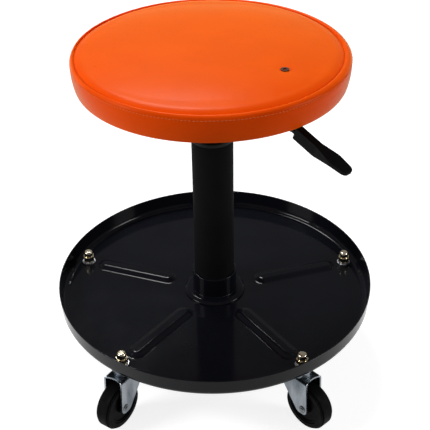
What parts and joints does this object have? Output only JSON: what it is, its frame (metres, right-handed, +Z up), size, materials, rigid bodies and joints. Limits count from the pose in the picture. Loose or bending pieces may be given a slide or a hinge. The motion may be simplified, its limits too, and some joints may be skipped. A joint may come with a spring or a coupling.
{
  "type": "mechanic stool",
  "caption": "Rolling workshop stool with a round orange padded seat on a gas lift column, a round black steel tool tray and swivel casters.",
  "frame": {"origin": "on the floor, on the column's axis", "axes": "+Z up along the column, -Y towards the front of the picture"},
  "size_m": [0.3999, 0.4055, 0.427],
  "materials": {
    "tray_paint": "gloss black enamel on pressed steel",
    "frame_paint": "gloss black enamel",
    "column_paint": "satin black powder coat",
    "bush_plastic": "black moulded nylon",
    "bright_steel": "ground steel",
    "rod_chrome": "hard chrome",
    "buffer_rubber": "black rubber",
    "zinc_steel": "zinc plated",
    "fork_zinc": "bluish bright zinc on pressed steel",
    "lever_steel": "black oxide rod",
    "grip_plastic": "fine textured black plastic",
    "plywood": "raw birch plywood",
    "foam": "open cell foam",
    "seat_vinyl": "orange grained vinyl",
    "eyelet_metal": "dark plated eyelet",
    "nut_brass": "pale yellow plating",
    "wheel_plastic": "black moulded plastic",
    "tyre_rubber": "black solid rubber"
  },
  "bodies": {
    "base": {"tray": "tray_paint", "hub_socket": "frame_paint", "hub_collar": "frame_paint", "hub_plate": "frame_paint", "column_tube": "column_paint", "guide_bush": "bush_plastic", "bearing_lower_race": "bright_steel", "caster_stems": "zinc_steel", "caster_top_races": "zinc_steel", "caster_balls": "bright_steel", "flat_washers": "zinc_steel", "spring_washers": "zinc_steel", "dome_nuts": "nut_brass"},
    "swivel_rod": {"piston_rod": "rod_chrome", "piston_head": "bright_steel", "bearing_upper_race": "bright_steel", "bearing_balls": "bright_steel", "rod_buffer": "buffer_rubber", "rod_clip": "bright_steel"},
    "seat": {"gas_cylinder": "column_paint", "rod_gland": "bright_steel", "valve_block": "bright_steel", "seat_socket": "frame_paint", "mechanism_pan": "frame_paint", "seat_screws": "zinc_steel", "tee_nuts": "zinc_steel", "lever_pivot": "zinc_steel", "seat_board": "plywood", "seat_foam": "foam", "cover_top": "seat_vinyl", "cover_band": "seat_vinyl", "seam_welt": "seat_vinyl", "vent_eyelet": "eyelet_metal"},
    "lever": {"lever_arm": "lever_steel", "lever_grip": "grip_plastic"},
    "valve_pin": {"release_pin": "bright_steel"},
    "caster_1": {"caster_fork_1": "fork_zinc", "caster_axle_1": "zinc_steel"},
    "wheel_1": {"wheel_core_1": "wheel_plastic", "wheel_tyre_1": "tyre_rubber"},
    "caster_2": {"caster_fork_2": "fork_zinc", "caster_axle_2": "zinc_steel"},
    "wheel_2": {"wheel_core_2": "wheel_plastic", "wheel_tyre_2": "tyre_rubber"},
    "caster_3": {"caster_fork_3": "fork_zinc", "caster_axle_3": "zinc_steel"},
    "wheel_3": {"wheel_core_3": "wheel_plastic", "wheel_tyre_3": "tyre_rubber"},
    "caster_4": {"caster_fork_4": "fork_zinc", "caster_axle_4": "zinc_steel"},
    "wheel_4": {"wheel_core_4": "wheel_plastic", "wheel_tyre_4": "tyre_rubber"},
    "caster_5": {"caster_fork_5": "fork_zinc", "caster_axle_5": "zinc_steel"},
    "wheel_5": {"wheel_core_5": "wheel_plastic", "wheel_tyre_5": "tyre_rubber"}
  },
  "joints": [
    {"name": "seat_swivel", "type": "hinge", "parent": "base", "child": "swivel_rod", "pos_m": [0, 0, 0.05], "axis": [0, 0, 1], "continuous": true},
    {"name": "seat_lift", "type": "slide", "parent": "swivel_rod", "child": "seat", "axis": [0, 0, 1], "range_m": [-0.015, 0.105]},
    {"name": "lever_lift", "type": "hinge", "parent": "seat", "child": "lever", "pos_m": [0.02319, -0.02487, 0.36862], "axis": [-0.7314, -0.682, 0], "range_deg": [0, 6], "stiffness_Nm_per_rad": 4},
    {"name": "pin_press", "type": "slide", "parent": "seat", "child": "valve_pin", "axis": [0, 0, -1], "range_m": [0, 0.004]},
    {"name": "caster_swivel_1", "type": "hinge", "parent": "base", "child": "caster_1", "pos_m": [0.00632, 0.18089, 0.069], "axis": [0, 0, 1], "continuous": true},
    {"name": "wheel_roll_1", "type": "hinge", "parent": "caster_1", "child": "wheel_1", "pos_m": [0.01134, 0.16708, 0.03], "axis": [0.9397, 0.342, 0], "continuous": true},
    {"name": "caster_swivel_2", "type": "hinge", "parent": "base", "child": "caster_2", "pos_m": [-0.17008, 0.06191, 0.069], "axis": [0, 0, 1], "continuous": true},
    {"name": "wheel_roll_2", "type": "hinge", "parent": "caster_2", "child": "wheel_2", "pos_m": [-0.16506, 0.07572, 0.03], "axis": [-0.9397, 0.342, 0], "continuous": true},
    {"name": "caster_swivel_3", "type": "hinge", "parent": "base", "child": "caster_3", "pos_m": [-0.11144, -0.14263, 0.069], "axis": [0, 0, 1], "continuous": true},
    {"name": "wheel_roll_3", "type": "hinge", "parent": "caster_3", "child": "wheel_3", "pos_m": [-0.11987, -0.15467, 0.03], "axis": [0.8192, -0.5736, 0], "continuous": true},
    {"name": "caster_swivel_4", "type": "hinge", "parent": "base", "child": "caster_4", "pos_m": [0.10121, -0.15006, 0.069], "axis": [0, 0, 1], "continuous": true},
    {"name": "wheel_roll_4", "type": "hinge", "parent": "caster_4", "child": "wheel_4", "pos_m": [0.11114, -0.16089, 0.03], "axis": [0.7373, 0.6756, 0], "continuous": true},
    {"name": "caster_swivel_5", "type": "hinge", "parent": "base", "child": "caster_5", "pos_m": [0.17399, 0.04989, 0.069], "axis": [0, 0, 1], "continuous": true},
    {"name": "wheel_roll_5", "type": "hinge", "parent": "caster_5", "child": "wheel_5", "pos_m": [0.16848, 0.06352, 0.03], "axis": [-0.9272, -0.3746, 0], "continuous": true}
  ],
  "couplings": [
    {"joint": "pin_press", "follows": "lever_lift", "m_per_rad": 0.034}
  ]
}
